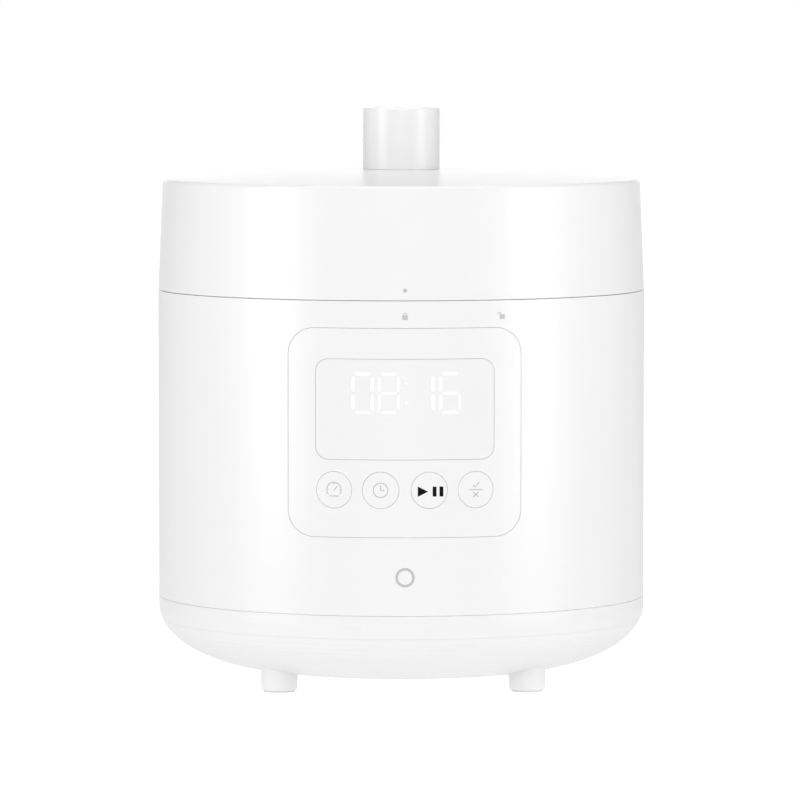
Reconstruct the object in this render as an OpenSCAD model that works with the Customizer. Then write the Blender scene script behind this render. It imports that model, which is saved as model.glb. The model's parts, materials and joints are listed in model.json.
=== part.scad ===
// Electric pressure cooker, 2.5 litre class: a round body on four feet, a bayonet lid with a
// central knob, a lift-out inner pot, a heating base and a front control panel.
// Millimetres, +Z up, the front faces -Y. The origin is on the table under the body's axis.

/* [Body] */
// Outer diameter of the body
body_d = 232; // [230:1:236]
// Height of the seam between body and lid above the table
seam_z = 187.1; // [185:0.1:190]
// Thickness of the outer plastic wall
wall = 2.2; // [2:0.1:2.4]

/* [Base] */
// Height of the flat underside above the table
foot_gap = 6; // [5:0.5:7]
// Width of the rounded lower edge, measured inwards
edge_w = 59.7; // [56:0.1:62]
// Height of the rounded lower edge
edge_h = 30.3; // [30:0.1:31]
// Distance of the feet from the axis
foot_r = 82.6; // [80:0.1:86]

/* [Lid] */
// Height of the lid's side wall
lid_h = 52.8; // [50:0.1:54]
// Inward lean of the lid's side wall over its height
lid_draft = 2; // [1:0.1:2.5]
// Rise of the crowned lid top above its rim
crown_h = 4.6; // [3:0.1:5]
// Number of bayonet teeth
teeth = 8; // [8:1:8]
// Angle that one bayonet tooth covers
tooth_deg = 20; // [16:1:20]

/* [Knob] */
// Outer diameter of the knob
knob_d = 36.7; // [36:0.1:38]
// Height of the knob above the crown of the lid
knob_h = 28; // [27.5:0.1:33]
// Outer diameter of the release button's cap
button_d = 26.2; // [25:0.1:26.4]

/* [Control panel] */
// Width of the panel seen from the front
panel_w = 107.9; // [104:0.1:112]
// Height of the panel
panel_h = 96.9; // [94:0.1:99]
// Height of the panel's middle above the table
panel_z = 125.9; // [125:0.1:127]
// Width of the display window seen from the front
window_w = 82.9; // [78:0.1:86]
// Height of the display window
window_h = 46.8; // [40:0.1:48]
// Diameter of a key
key_d = 16.86; // [16:0.01:17.4]
// Angle between neighbouring keys
key_pitch = 11.1; // [11:0.01:11.6]

/* [Hidden] */
$fn = 96;

// Body
body_r = body_d / 2;
inner_r = body_r - wall;
flat_r = body_r - edge_w;
edge_z = foot_gap + edge_h;
bowl_top = 29.9;
ring_low = 30.1;
ring_top = 40.7;
shell_low = 41.2;
shell_top = seam_z - 0.3;
bowl_wall = 2.4;
foot_low_r = 8.45;
pad_r = 7.4;
pad_h = 1.8;
tongue = 2;
fit_gap = 0.2;

// Heating chamber, seen from the inside out
drum_in = body_r - 20.5;
drum_out = drum_in + 1;
drum_low = 60;
flange_top = seam_z - 1.5;
flange_t = 2;
flange_r = drum_in + 3;
tooth_tip = drum_in + 8;

// Inner pot
pot_r = drum_in - 2.5;
pot_wall = 2;
pot_low = 80;
pot_floor = 3;
pot_corner = 12;
pot_rim_z = flange_top + 0.3;
pot_rim_r = drum_in + 1.8;

// Heating plate and what stands around it
plate_r = 76;
plate_top = pot_low - 0.3;
plate_low = 69.7;
plate_hole = 16;
element_r = 54;
element_d = 7;
support_r = 70;
sensor_r = 12.8;

// Collar with the condensate channel
channel_low = seam_z - 14.5;
channel_t = 2;
channel_in = drum_out + 2.3;
channel_lip = body_r - 6.2;
drain_y = 107.5;

// Columns between the base and the heating chamber
column_r = 70;
column_low = 14;
column_angles = [30, 150, 270];
screw_r = 1.9;

// Steel lid
lid_plate_z = seam_z + 11.5;
lid_plate_t = 1.2;
skirt_out = drum_in + 11.5;
skirt_low = seam_z - 6.3;
lid_tooth_tip = drum_in + 4;
ridge_r = drum_in + 3.6;

// Plastic lid
cover_low = seam_z + 0.3;
cover_r = body_r - 0.1;
rim_r = cover_r - lid_draft;
rim_z = seam_z + lid_h;
rim_round = 1.8;
cover_wall = 2.4;
boss_at = body_r - 5.4;
liner_gap = 20;
post_at = 60;

// Knob
knob_r = knob_d / 2;
core_z = rim_z + crown_h + 0.1;
knob_low = core_z + 0.9;
knob_top = rim_z + crown_h + knob_h + 1;
knob_wall = 2.6;
floor_z = knob_low + 2;
valve_x = -7;
pivot_x = 4;
pivot_z = floor_z + 5.6;
leg_x = 10.5;
leg_r = 1.6;
shelf_z = floor_z + 9.6;
button_r = button_d / 2;
spring_x = 3.4;
bridge_z = floor_z + 10.4;
float_y = 34;

// Control panel
panel_round = 12;
window_round = 6.1;
window_z = panel_z + 10.9;
key_z = panel_z - 26.5;
key_r = key_d / 2;
key_flange = 9.8;
key_travel = 0.8;
board_y = -100.7;
board_t = 1.6;
board_z = 22;

// Rear fittings
inlet_z = 56;
pocket_z = 116;
pocket_h = 54;
pocket_w = 49;
pocket_wall = 1.5;
cup_gap = 0.4;
cup_h = 40;

// ---- Shared shapes ----------------------------------------------------------------------

// Plain tube standing on z
module tube(z, h, r_out, r_in) {
    translate([0, 0, z]) difference() {
        cylinder(h = h, r = r_out);
        translate([0, 0, -1]) cylinder(h = h + 2, r = r_in);
    }
}

// Ring sector of the given angle, centred on the angle at
module sector(z, h, r_out, r_in, at, deg) {
    rotate([0, 0, at - deg / 2]) rotate_extrude(angle = deg)
        translate([r_in, z]) square([r_out - r_in, h]);
}

// Rectangle with round corners, centred on the origin
module round_rect(w, h, r) {
    square([w - 2 * r, h], center = true);
    square([w, h - 2 * r], center = true);
    for (x = [-1, 1], y = [-1, 1])
        translate([x * (w / 2 - r), y * (h / 2 - r)]) circle(r = r);
}

// Upright block with a round-cornered face, cut out of the front wall region
module front_block(w, h, r, z) {
    translate([0, 0, z]) rotate([90, 0, 0]) translate([0, 0, body_r / 2])
        linear_extrude(height = body_r) round_rect(w, h, r);
}

// Piece of the cylindrical front wall between two radii, with a round-cornered outline
module wall_piece(w, h, r, z, r_in, r_out) {
    intersection() {
        tube(z - h, 2 * h, r_out, r_in);
        front_block(w, h, r, z);
    }
}

// Rear block: a box behind the axis, limited outside by the body's round face
module rear_block(w, z, h, y_in, r_out) {
    intersection() {
        cylinder(h = z + h, r = r_out);
        translate([-w / 2, y_in, z]) cube([w, body_r, h]);
    }
}

// Curved piece of the rear wall between two radii
module rear_skin(w, z, h, r_in, r_out) intersection() {
    tube(z, h, r_out, r_in);
    translate([-w / 2, 0, z]) cube([w, body_r, h]);
}

// Screw pointing up: a pan head under a plain shank
module screw_up(head_r, head_h, shank_r, shank_h) {
    difference() {
        cylinder(h = head_h, r = head_r);
        for (a = [0, 90]) rotate([0, 0, a])
            translate([-head_r * 0.55, -0.4, -1]) cube([head_r * 1.1, 0.8, 1.9]);
    }
    cylinder(h = head_h + shank_h, r = shank_r);
}

// Points of the rounded lower edge, from the flat underside outwards, set in by t
function edge_points(t, a_end, n = 16) =
    [for (i = [0:n]) let (a = a_end * i / n)
        [flat_r + (edge_w - t) * sin(a), edge_z - (edge_h - t) * cos(a)]];

// Angle on that edge at height z
function edge_angle(t, z) = acos(min(1, max(0, (edge_z - z) / (edge_h - t))));

// Height of the crowned lid top at radius r
function crown_z(r) = rim_z + crown_h * (1 - pow(r / (rim_r - rim_round), 2));

function reversed(p) = [for (i = [len(p) - 1:-1:0]) p[i]];

// Points along a smooth curve through the route's points
function on_route(p, i, t) = let (
    n = len(p) - 1, a = p[max(i - 1, 0)], b = p[i], c = p[min(i + 1, n)], d = p[min(i + 2, n)])
    0.5 * (2 * b + (c - a) * t + (2 * a - 5 * b + 4 * c - d) * t * t + (3 * b - a - 3 * c + d) * t * t * t);
function smooth_route(p, steps) = concat(
    [for (i = [0:len(p) - 2], s = [0:steps - 1]) on_route(p, i, s / steps)], [p[len(p) - 1]]);
function unit(v) = v / norm(v);

// Lead of round section along a route, with flat ends
module lead(route, r, steps = 4, sides = 8) {
    p = smooth_route(route, steps);
    n = len(p);
    dirs = [for (i = [0:n - 1]) unit(p[min(i + 1, n - 1)] - p[max(i - 1, 0)])];
    rings = [for (i = [0:n - 1]) let (
        u = unit(cross(dirs[i], [1, 0.13, 0.07])), v = cross(dirs[i], u))
        for (k = [0:sides - 1]) p[i] + r * (cos(360 * k / sides) * u + sin(360 * k / sides) * v)];
    skin = [for (i = [0:n - 2], k = [0:sides - 1]) let (a = i * sides + k, b = i * sides + (k + 1) % sides)
        each [[a, b, a + sides], [b, b + sides, a + sides]]];
    ends = [[for (k = [sides - 1:-1:0]) k], [for (k = [0:sides - 1]) (n - 1) * sides + k]];
    polyhedron(points = rings, faces = [for (f = concat(skin, ends)) reversed(f)]);
}

// ---- Base -------------------------------------------------------------------------------

module bowl_solid() {
    rotate_extrude() polygon(concat([[0, bowl_top], [0, foot_gap]],
        edge_points(0, edge_angle(0, bowl_top)), [[flat_r, bowl_top]]));
}

module bowl_skin() {
    rotate_extrude() polygon(concat([[0, foot_gap + bowl_wall], [0, foot_gap]],
        edge_points(0, edge_angle(0, bowl_top)),
        reversed(edge_points(bowl_wall, edge_angle(bowl_wall, bowl_top)))));
}

// Places children at the four fixing holes of the power board
module at_board_holes() for (x = [-44, 44], y = [-26, 26]) translate([x, y, 0]) children();

module base_bowl() color("white") {
    slots = 16;
    tongue_r = inner_r - 1.8;
    difference() {
        union() {
            bowl_skin();
            intersection() {
                bowl_solid();
                tube(27.5, 2.5, body_r, tongue_r - tongue);
            }
            tube(28.5, 5, tongue_r, tongue_r - tongue);
            intersection() {
                bowl_solid();
                for (a = column_angles) rotate([0, 0, a])
                    translate([column_r, 0, foot_gap]) cylinder(h = column_low - foot_gap, r = 6);
            }
            at_board_holes() {
                translate([0, 0, foot_gap + 1]) cylinder(h = board_z - foot_gap - 1, r = 3);
                translate([0, 0, board_z - 1]) cylinder(h = board_t + 2.4, r = 1.5);
            }
        }
        for (a = column_angles) rotate([0, 0, a]) translate([column_r, 0, 0]) {
            cylinder(h = 10.5, r = 4.2);
            cylinder(h = column_low + 1, r = screw_r + 0.2);
        }
        for (i = [0:slots - 1]) rotate([0, 0, 360 * (i + 0.5) / slots])
            translate([26, -1.2, 0]) cube([20, 2.4, foot_gap + bowl_wall + 1]);
    }
}

module base_ring() color("white") {
    tongue_r = inner_r - fit_gap;
    tongue_top = shell_low + 2.4;
    a_low = edge_angle(0, ring_low);
    b_low = edge_angle(wall, ring_low);
    outer = [for (i = [0:4]) let (a = a_low + (90 - a_low) * i / 4)
        [flat_r + edge_w * sin(a), edge_z - edge_h * cos(a)]];
    inner = [for (i = [0:4]) let (a = 90 + (b_low - 90) * i / 4)
        [flat_r + (edge_w - wall) * sin(a) - 0.1, edge_z - (edge_h - wall) * cos(a)]];
    rotate_extrude() polygon(concat(outer,
        [[body_r, ring_top], [body_r - 1.1, ring_top], [body_r - 1.1, shell_low], [tongue_r, shell_low],
            [tongue_r, tongue_top], [tongue_r - tongue, tongue_top], [tongue_r - tongue, edge_z + 1.5]],
        inner));
}

module feet() color("white") for (a = [45:90:315]) rotate([0, 0, a]) difference() {
    translate([foot_r, 0, 0.8]) cylinder(h = 14, r1 = foot_low_r, r2 = foot_low_r + 0.7);
    bowl_solid();
    translate([foot_r, 0, 0]) cylinder(h = pad_h, r = pad_r);
}

module foot_pads() color("lightgray") for (a = [45:90:315]) rotate([0, 0, a])
    translate([foot_r, 0, 0]) cylinder(h = pad_h, r = pad_r);

module base_screws() color("silver") for (a = column_angles) rotate([0, 0, a])
    translate([column_r, 0, 8.3]) screw_up(3.8, 2.2, screw_r, 12);

module tie_columns() color("silver") for (a = column_angles) rotate([0, 0, a])
    translate([column_r, 0, column_low]) difference() {
        cylinder(h = drum_low - column_low, r = 4.5);
        translate([0, 0, -1]) cylinder(h = 12, r = screw_r + 0.05);
    }

// ---- Body -------------------------------------------------------------------------------

module outer_shell() color("white") difference() {
    tube(shell_low, shell_top - shell_low, body_r, inner_r);
    front_block(panel_w + 0.6, panel_h + 0.6, panel_round + 0.3, panel_z);
    rear_block(28, inlet_z - 10.4, 20.8, 60, body_r + 5);
    rear_block(pocket_w + 0.4, pocket_z - 0.2, pocket_h + 0.4, 60, body_r + 5);
}

module rim_collar() color("whitesmoke") {
    low_out = inner_r - 1.6;
    step_z = channel_low + 5.6;
    difference() {
        rotate_extrude() polygon([[drum_out, channel_low], [low_out, channel_low], [low_out, step_z],
            [inner_r, step_z + 1.6], [inner_r, shell_top - 0.4], [inner_r - 1, shell_top - 0.4],
            [channel_lip, shell_top - 1.6], [channel_lip, channel_low + channel_t],
            [channel_in, channel_low + channel_t], [channel_in, flange_top - flange_t],
            [drum_out, flange_top - flange_t]]);
        translate([0, drain_y, channel_low - 1]) cylinder(h = channel_t + 2, r = 2);
    }
    translate([0, drain_y, channel_low - 6]) difference() {
        cylinder(h = 6.5, r = 3);
        translate([0, 0, -1]) cylinder(h = 9, r = 2);
    }
}

module heating_chamber() color("silver") {
    rotate_extrude() polygon([[64, drum_low], [drum_out, drum_low], [drum_out, flange_top - flange_t],
        [flange_r, flange_top - flange_t], [flange_r, flange_top], [drum_in, flange_top],
        [drum_in, drum_low + 1], [64, drum_low + 1]]);
    for (i = [0:teeth - 1])
        sector(flange_top - flange_t, flange_t, tooth_tip, flange_r - 0.5, i * 360 / teeth, tooth_deg);
}

module insulation_sleeve() color("gainsboro") tube(76, seam_z - 96.5, drum_out + 2.3, drum_out);

module inner_pot() color("dimgray") {
    floor_r = pot_r - pot_corner;
    inner_corner = pot_corner - pot_wall;
    top = pot_rim_z + 2;
    outer = [for (a = [0:10:90]) [floor_r + pot_corner * sin(a), pot_low + pot_corner * (1 - cos(a))]];
    inner = [for (a = [90:-10:0])
        [floor_r + inner_corner * sin(a), pot_low + pot_floor + inner_corner * (1 - cos(a))]];
    rotate_extrude() polygon(concat([[0, pot_low]], outer,
        [[pot_r, pot_rim_z], [pot_rim_r - 0.6, pot_rim_z], [pot_rim_r, pot_rim_z + 0.6],
            [pot_rim_r, top - 0.6], [pot_rim_r - 0.6, top], [pot_r - pot_wall + 1, top],
            [pot_r - pot_wall, top - 1]],
        inner, [[0, pot_low + pot_floor]]));
}

// ---- Heating base -----------------------------------------------------------------------

module heating_plate() color("darkgray") difference() {
    rotate_extrude() polygon([[plate_hole, plate_low], [plate_r - 2, plate_low], [plate_r, plate_low + 2],
        [plate_r, plate_top - 1.5], [plate_r - 1.5, plate_top], [plate_hole + 1, plate_top],
        [plate_hole, plate_top - 1]]);
    rotate_extrude() translate([element_r, plate_low]) circle(d = element_d + 0.2, $fn = 32);
}

module heating_element() color("dimgray") {
    rotate([0, 0, 100]) rotate_extrude(angle = 340)
        translate([element_r, plate_low]) circle(d = element_d, $fn = 32);
    for (a = [77, 103]) rotate([0, 0, a]) translate([element_r, 0, 56]) cylinder(h = 12, r = 2.4);
}

module plate_supports() color("goldenrod") for (a = column_angles) rotate([0, 0, a])
    translate([support_r, 0, drum_low + 1]) {
        cylinder(h = plate_low - drum_low - 1, r = 3);
        for (z = [1.5, 3.8, 6.1]) translate([0, 0, z]) cylinder(h = 1, r = 5);
    }

module sensor_bracket() color("silver") difference() {
    translate([-70, -8, drum_low + 1]) cube([140, 16, 1]);
    cylinder(h = drum_low + 5, r = 3);
}

module sensor_guide() color("silver") difference() {
    translate([0, 0, drum_low + 2]) cylinder(h = 15, r = 15);
    translate([0, 0, drum_low + 4]) cylinder(h = 20, r = sensor_r + 0.4);
    cylinder(h = drum_low + 10, r = 3);
}

module sensor_cap() color("lightgray") {
    difference() {
        union() {
            translate([0, 0, pot_low - 6]) cylinder(h = 5, r = sensor_r);
            translate([0, 0, pot_low - 1]) cylinder(h = 0.8, r1 = sensor_r, r2 = sensor_r - 0.8);
        }
        translate([0, 0, pot_low - 7]) cylinder(h = 5.8, r = sensor_r - 1);
    }
    translate([0, 0, drum_low - 1]) cylinder(h = pot_low - 0.8 - drum_low + 1, r = 2);
    translate([0, 0, drum_low - 0.6]) cylinder(h = 1.2, r = 4.6);
}

module sensor_spring() color("silver") tube(drum_low + 4, pot_low - 1.2 - drum_low - 4, 9.2, 8.2);

module thermostat() color("tan") translate([-35, 0, drum_low - 6]) {
    cylinder(h = 7, r = 8);
    for (y = [-1, 1]) translate([-3, y * 4 - 0.4, -5]) cube([6, 0.8, 6]);
}

module thermal_fuse() color("white") translate([26, 0, drum_low - 2.5]) {
    rotate([0, 90, 0]) cylinder(h = 22, r = 2.5);
    translate([6, -2, 1]) cube([10, 4, 2.5]);
}

module pressure_switch() color("black") translate([-86, -10, drum_low - 9]) {
    cube([10, 20, 9]);
    translate([10, 8, 6]) cube([5, 4, 1.5]);
}

// ---- Control panel ----------------------------------------------------------------------

// Angle of key i round the body, measured from the front
function key_angle(i) = (i - 1.5) * key_pitch;

// Places children on the axis of key i, with +Z pointing outwards and the origin on the body's axis
module at_key(i) rotate([0, 0, key_angle(i)]) translate([0, 0, key_z]) rotate([90, 0, 0]) children();

module control_panel() color("white") {
    difference() {
        wall_piece(panel_w, panel_h, panel_round, panel_z, body_r - 2.8, body_r);
        front_block(window_w, window_h, window_round, window_z);
        for (i = [0:3]) at_key(i) translate([0, 0, body_r - 8]) cylinder(h = 16, r = key_r + fit_gap);
    }
    difference() {
        wall_piece(panel_w + 4, panel_h + 4, panel_round + 2, panel_z, body_r - 3.6, inner_r);
        front_block(panel_w - 6, panel_h - 6, panel_round - 3, panel_z);
    }
}

module display_lens() color("whitesmoke") {
    wall_piece(window_w - 0.4, window_h - 0.4, window_round - 0.2, window_z, body_r - 3.2, body_r);
    wall_piece(window_w + 4, window_h + 4, window_round + 2, window_z, body_r - 3.8, body_r - 2.8);
}

module key(i) color("white") {
    flange_at = body_r - 4.6;
    board_front = -board_y + board_t;
    switch_top = (board_front + 2) / cos(key_angle(i));
    stem_r = 2;
    stem_low = min(switch_top + key_travel + 0.2 + stem_r * sin(abs(key_angle(i))), flange_at - 0.1);
    intersection() {
        at_key(i) {
            translate([0, 0, flange_at]) cylinder(h = 8, r = key_r);
            translate([0, 0, flange_at]) cylinder(h = 1, r = key_flange);
            translate([0, 0, stem_low]) cylinder(h = flange_at - stem_low + 0.5, r = stem_r);
        }
        translate([0, 0, key_z - 20]) cylinder(h = 40, r = body_r);
    }
}

module board_carrier() color("gray") {
    side = 41.2;
    side_t = 1.5;
    z0 = panel_z - 44;
    difference() {
        translate([-side, board_y, z0]) cube([2 * side, 1.4, 88]);
        translate([-34, board_y - 1, z0 + 9]) cube([68, 4, 70]);
    }
    for (s = [-1, 1]) {
        translate([s * (side - side_t / 2) - side_t / 2, board_y - 1.8, z0]) cube([side_t, 3.2, 88]);
        for (z = [z0 + 12, z0 + 68]) intersection() {
            translate([s * 50 - 10, board_y, z]) cube([20, 2.8, 8]);
            cylinder(h = 300, r = body_r - 3.6);
        }
    }
}

module control_board() color("green")
    translate([-39.5, board_y - board_t, panel_z - 42]) cube([79, board_t, 84]);

module display_module() color("black") {
    front = board_y - board_t;
    translate([-33, front - 4, window_z - 15]) cube([66, 4, 30]);
}

module key_switches() color("black") for (i = [0:3]) {
    front = board_y - board_t;
    x = -tan(key_angle(i)) * front;
    translate([x - 3, front - 1.4, key_z - 3]) cube([6, 1.4, 6]);
    translate([x, front - 1.4, key_z]) rotate([90, 0, 0]) cylinder(h = 0.6, r = 1.7);
}

module lid_sensor() color("black") translate([-6, -body_r + 5, channel_low - 6]) cube([12, 5.5, 6]);

// ---- Power electronics ------------------------------------------------------------------

module power_board() color("green") difference() {
    translate([-50, -32, board_z]) cube([100, 64, board_t]);
    at_board_holes() translate([0, 0, board_z - 1]) cylinder(h = 4, r = 1.7);
}

module transformer() color("gold") translate([-38, -25, board_z + board_t]) {
    cube([24, 20, 4]);
    translate([3, 2, 3.5]) cube([18, 16, 14]);
}

module relay() color("blue") translate([10, -24, board_z + board_t]) cube([16, 20, 15.5]);

module terminal_block() color("green") translate([-24, 20, board_z + board_t]) difference() {
    cube([48, 9, 9]);
    for (i = [0:5]) translate([4 + i * 8, 4.5, 6]) cylinder(h = 5, r = 2);
}

module inlet_recess_2d() polygon([[-12.3, -8.2], [12.3, -8.2], [12.3, 3.8], [8.3, 8.2], [-8.3, 8.2],
    [-12.3, 3.8]]);

module power_inlet() color("black") difference() {
    union() {
        rear_block(27.6, inlet_z - 10.2, 20.4, 99, body_r);
        rear_skin(33, inlet_z - 12, 24, inner_r - 1.6, inner_r);
    }
    translate([0, 101, inlet_z]) rotate([90, 0, 0]) mirror([0, 0, 1])
        linear_extrude(height = 30) inlet_recess_2d();
    inlet_blades();
}

module inlet_blades() for (b = blades)
    translate([b[0] - 1, 92, inlet_z + b[1] - 1.2]) cube([2, 20, 2.4]);

module inlet_pins() color("silver") inlet_blades();

// Places of the inlet's three blades: x, then height from the inlet's middle
blades = [[-7, -2], [0, 2], [7, -2]];

module mains_leads() color("brown") for (i = [0:2]) {
    x = blades[i][0];
    z = inlet_z + blades[i][1];
    end_x = -20 + 8 * i;
    lead([[x, 91.9, z], [x, 84, z - 1], [x * 1.3, 70, 46], [end_x, 44, 41], [end_x, 30, 40],
        [end_x, 24.5, 36], [end_x, 24.5, 30]], 1.3);
}

module heater_leads() color("red") for (s = [-1, 1]) {
    x = s * element_r * cos(77);
    y = element_r * sin(77);
    end_x = 8 + 4 * s;
    mid_x = (x + end_x) / 2;
    lead([[x, y, 55.6], [x, y, 51.6], [mid_x, y - 7, 49], [end_x, 36, 47], [end_x, 27, 43],
        [end_x, 24.5, 37], [end_x, 24.5, 30]], 1.3);
}

module panel_cable() color("lightgray") {
    front = board_y - 1.3;
    low = board_z + 10;
    translate([14, front, low]) cube([14, 1, panel_z - 42 - low]);
    translate([14, front, low]) cube([14, -front - 28, 1]);
    translate([14, -29, board_z + board_t]) cube([14, 1, low + 1 - board_z - board_t]);
}

// ---- Condensate cup ---------------------------------------------------------------------

module cup_pocket() color("whitesmoke") {
    w = pocket_w - 2 * pocket_wall;
    difference() {
        union() {
            rear_block(pocket_w, pocket_z, pocket_h, 101.8, body_r - 0.1);
            rear_skin(pocket_w + 6, pocket_z - 3, pocket_h + 6, inner_r - 1.5, inner_r);
        }
        rear_block(w, pocket_z + pocket_wall, pocket_h - 2 * pocket_wall, 103.3, body_r + 5);
        translate([0, drain_y, pocket_z + pocket_h - 5]) cylinder(h = 10, r = 3.3);
    }
}

module condensate_cup() color("lightblue") {
    z0 = pocket_z + pocket_wall + cup_gap;
    w = pocket_w - 2 * pocket_wall - 2 * cup_gap;
    difference() {
        rear_block(w, z0, cup_h, 103.3 + cup_gap, body_r - 0.1);
        rear_block(w - 3, z0 + 1.6, cup_h, 103.3 + cup_gap + 1.4, body_r - 1.8);
    }
}

// ---- Lid --------------------------------------------------------------------------------

module lid_cover() color("white") {
    round_at = [rim_r - rim_round, rim_z - rim_round];
    corner = [for (a = [0:15:90]) round_at + rim_round * [cos(a), sin(a)]];
    crown = [for (i = [1:12]) let (r = (rim_r - rim_round) * (1 - i / 12)) [r, crown_z(r)]];
    crown_in = [for (i = [0:12]) let (r = (rim_r - rim_round) * (i / 12)) [r, crown_z(r) - cover_wall]];
    difference() {
        union() {
            rotate_extrude() polygon(concat([[cover_r - cover_wall, cover_low], [cover_r, cover_low]],
                corner, crown, crown_in, [[rim_r - cover_wall, rim_z - 4.5]]));
            for (a = [45:90:315]) rotate([0, 0, a]) {
                translate([boss_at, 0, seam_z + 4]) cylinder(h = 16, r = 2.95);
                translate([post_at, 0, lid_plate_z + lid_plate_t])
                    cylinder(h = crown_z(post_at) - cover_wall + 0.5 - lid_plate_z - lid_plate_t, r = 4);
            }
        }
        cylinder(h = 400, r = 15);
        translate([0, float_y, 200]) cylinder(h = 100, r = 3.2);
        for (a = [45:90:315]) rotate([0, 0, a]) translate([boss_at, 0, seam_z]) cylinder(h = 16, r = 1.5);
    }
}

// Three segments, with a gap between them at each side and at the back, where the hollow lid drains
module lid_liner() color("whitesmoke") difference() {
    tube(seam_z + 2, 2, cover_r - cover_wall - 0.3, skirt_out + 0.2);
    for (a = [0:90:180]) rotate([0, 0, a]) translate([skirt_out - 2, -liner_gap / 2, seam_z])
        cube([12, liner_gap, 6]);
    for (a = [45:90:315]) rotate([0, 0, a]) translate([boss_at, 0, seam_z]) cylinder(h = 6, r = 1.7);
}

module lid_magnet() color("dimgray") translate([0, -boss_at, seam_z + 4])
    cylinder(h = 3, r = 2.5);

module lid_screws() color("silver") for (a = [45:90:315]) rotate([0, 0, a])
    translate([boss_at, 0, seam_z + 0.5]) screw_up(2.6, 1.5, 1.45, 10);

module steel_lid() color("silver") difference() {
    union() {
        rotate_extrude() polygon([[0, lid_plate_z], [ridge_r, lid_plate_z], [ridge_r, seam_z + 1.7],
            [ridge_r + 1.2, seam_z + 1.7], [ridge_r + 1.2, lid_plate_z], [skirt_out - 1.2, lid_plate_z],
            [skirt_out - 1.2, skirt_low], [skirt_out, skirt_low], [skirt_out, lid_plate_z],
            [skirt_out - 1.2, lid_plate_z + lid_plate_t], [0, lid_plate_z + lid_plate_t]]);
        for (i = [0:teeth - 1])
            sector(skirt_low, 2, skirt_out - 0.6, lid_tooth_tip, i * 360 / teeth, tooth_deg);
    }
    translate([valve_x, 0, 190]) cylinder(h = 20, r = 5.1);
    translate([0, float_y, 190]) cylinder(h = 20, r = 3);
}

module ring_retainer() color("silver") rotate_extrude()
    polygon([[80, lid_plate_z - 1.1], [86.2, lid_plate_z - 1.1], [86.2, seam_z + 2.5], [87.2, seam_z + 2.5],
        [87.2, lid_plate_z - 0.1], [80, lid_plate_z - 0.1]]);

module sealing_ring() color("lightgray")
    rotate_extrude() translate([drum_in, seam_z]) polygon([[3.1, 11.3], [3.1, 1.9], [2.3, 1.1],
        [-1.2, 1.1], [-2, 1.9], [-2, 4], [-6, 5.7], [-7.4, 6.8], [-7.4, 7.8], [-5.6, 7.6], [-1.6, 6.9],
        [-0.6, 7.7], [-0.6, 9.4], [-1.4, 10.2], [-4.6, 10.2], [-4.6, 11.3]]);

module vent_pipe() color("silver") {
    translate([valve_x, 0, 0]) difference() {
        union() {
            translate([0, 0, seam_z + 4]) cylinder(h = 50, r = 4);
            translate([0, 0, lid_plate_z - 1.5]) cylinder(h = 1.4, r = 8);
            translate([0, 0, lid_plate_z - 1]) cylinder(h = 8, r = 5);
            translate([0, 0, seam_z + 50]) cylinder(h = knob_low + 4.6 - seam_z - 50, r = 2.6);
            translate([0, 0, lid_plate_z + lid_plate_t + 0.1]) cylinder(h = 4, r = 8.5, $fn = 6);
        }
        cylinder(h = 400, r = 1.2);
    }
}

module screen_cap() color("silver") translate([valve_x, 0, seam_z + 2]) difference() {
    cylinder(h = lid_plate_z - 1.5 - seam_z - 2, r = 11);
    translate([0, 0, 1]) cylinder(h = 6.2, r = 10);
    translate([0, 0, 0.9]) cylinder(h = 20, r = 4);
    for (i = [0:7]) rotate([0, 0, 45 * i]) translate([0, 0, 4.2]) rotate([0, 90, 0])
        cylinder(h = 20, r = 1.2);
}

// ---- Knob and pressure release ----------------------------------------------------------

module knob_shell() color("white") {
    chamfer = 0.9;
    difference() {
        rotate_extrude() polygon([[knob_r - knob_wall, knob_low], [knob_r - chamfer, knob_low],
            [knob_r, knob_low + chamfer], [knob_r, knob_top - 0.7], [knob_r - 0.7, knob_top],
            [button_r + 0.7, knob_top], [button_r + 0.3, knob_top - 0.4],
            [button_r + 0.3, knob_top - 2.4], [knob_r - knob_wall, knob_top - 2.4]]);
        for (i = [-2:2]) rotate([0, 0, 90 + i * 16]) translate([knob_r - 6, -0.9, knob_top - 19])
            cube([12, 1.8, 13]);
    }
}

module knob_core() color("whitesmoke") difference() {
    union() {
        translate([0, 0, core_z]) cylinder(h = knob_low - core_z, r = knob_r - 1);
        translate([0, 0, knob_low]) cylinder(h = floor_z - knob_low, r = knob_r - knob_wall - 0.15);
        translate([0, 0, core_z - 8]) cylinder(h = 8.5, r = 14.8);
        for (s = [-1, 1]) translate([pivot_x - 3, s * 8.4 - 1, floor_z - 0.5])
            cube([6, 2, bridge_z - floor_z]);
        translate([spring_x - 2.6, -9.4, bridge_z - 1.4]) cube([5.2, 18.8, 1.4]);
        translate([12.8, -3.5, floor_z - 0.5]) cube([2.1, 7, shelf_z - floor_z + 2.5]);
        translate([7.5, -3.5, shelf_z]) cube([6, 7, 2]);
    }
    translate([0, 0, core_z - 9]) cylinder(h = 8, r = 12.8);
    translate([valve_x, 0, core_z - 9]) cylinder(h = 20, r = 4.4);
    translate([leg_x, 0, shelf_z - 1]) cylinder(h = 4, r = leg_r + 0.3);
    translate([pivot_x, -20, pivot_z]) rotate([-90, 0, 0]) cylinder(h = 40, r = 1.55);
}

module button_spring() color("silver") translate([spring_x, 0, 0])
    tube(bridge_z, knob_top - 1.6 - bridge_z, 2.6, 1.8);

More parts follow.
